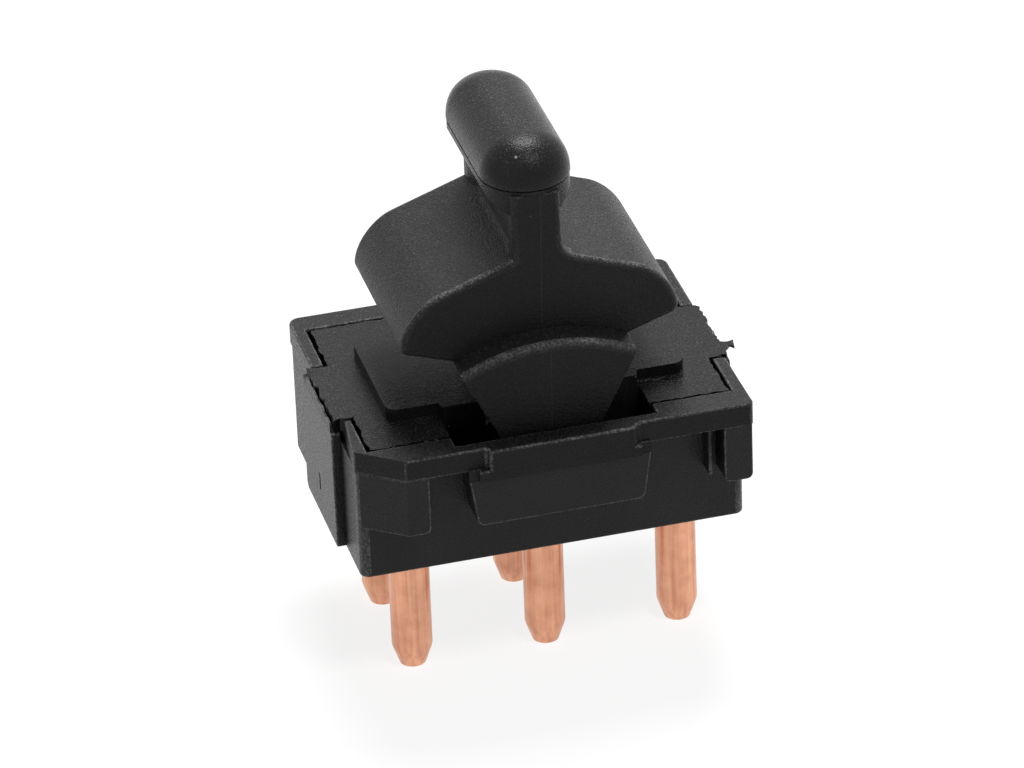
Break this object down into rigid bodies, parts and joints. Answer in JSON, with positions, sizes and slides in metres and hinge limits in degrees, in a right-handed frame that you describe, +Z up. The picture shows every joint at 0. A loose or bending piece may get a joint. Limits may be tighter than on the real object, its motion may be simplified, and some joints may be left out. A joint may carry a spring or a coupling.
{
  "type": "power window switch",
  "caption": "Tipping console switch for a car window: capsule grip on a winged rocker, in a low box with a stepped rim, on round copper contact pins",
  "frame": {"origin": "On the floor that the pin tips stand on, under the middle of the bounding box to within the whisker of flash on the right tab", "axes": "+Z up along the neck of the rocker, -Y is the front with the chamfered corner on its left, +X to the right as seen from the front"},
  "size_m": [0.0258, 0.0194, 0.0345],
  "materials": {
    "housing": "black moulded plastic with a fine grain",
    "frame": "black moulded plastic with a fine grain",
    "plate": "black moulded plastic, torn flash at the edges",
    "rocker": "black moulded plastic, worn smoother on the grip",
    "copper": "bare salmon-coloured copper, drawn and coined",
    "silver_contact": "silver alloy contact, satin",
    "contact_strip": "rolled bronze strip, satin",
    "spring_steel": "drawn spring wire",
    "plunger": "natural self-lubricating plastic"
  },
  "bodies": {
    "housing": {"base_housing": "housing", "top_frame": "frame", "cover_plate": "plate", "terminal_front_left": "copper", "terminal_front_middle": "copper", "terminal_front_right": "copper", "terminal_back_left": "copper", "terminal_back_middle": "copper", "fixed_contact_front_left": "silver_contact", "fixed_contact_front_right": "silver_contact", "fixed_contact_back_left": "silver_contact", "fixed_contact_back_right": "silver_contact", "supply_strap": "copper"},
    "rocker": {"rocker": "rocker", "plunger_spring_front": "spring_steel", "plunger_spring_back": "spring_steel"},
    "plunger_front": {"plunger_front": "plunger"},
    "plunger_back": {"plunger_back": "plunger"},
    "lever_front": {"contact_lever_front": "contact_strip", "moving_contacts_front": "silver_contact"},
    "lever_back": {"contact_lever_back": "contact_strip", "moving_contacts_back": "silver_contact"}
  },
  "joints": [
    {"name": "rocker_tilt", "type": "hinge", "parent": "housing", "child": "rocker", "pos_m": [0, -0.001, 0.0149], "axis": [0, 1, 0], "range_deg": [-12, 12], "stiffness_Nm_per_rad": 0.1},
    {"name": "plunger_front_slide", "type": "slide", "parent": "rocker", "child": "plunger_front", "axis": [0, 0, 1], "range_m": [0, 0.0005], "stiffness_N_per_m": 200, "deforming": ["plunger_spring_front"]},
    {"name": "plunger_back_slide", "type": "slide", "parent": "rocker", "child": "plunger_back", "axis": [0, 0, 1], "range_m": [0, 0.0005], "stiffness_N_per_m": 200, "deforming": ["plunger_spring_back"]},
    {"name": "lever_front_rock", "type": "hinge", "parent": "housing", "child": "lever_front", "pos_m": [0, -0.0042, 0.0101], "axis": [0, -1, 0], "range_deg": [0, 6], "stiffness_Nm_per_rad": 0.001},
    {"name": "lever_back_rock", "type": "hinge", "parent": "housing", "child": "lever_back", "pos_m": [0, 0.0032, 0.0101], "axis": [0, 1, 0], "range_deg": [0, 6], "stiffness_Nm_per_rad": 0.001}
  ]
}
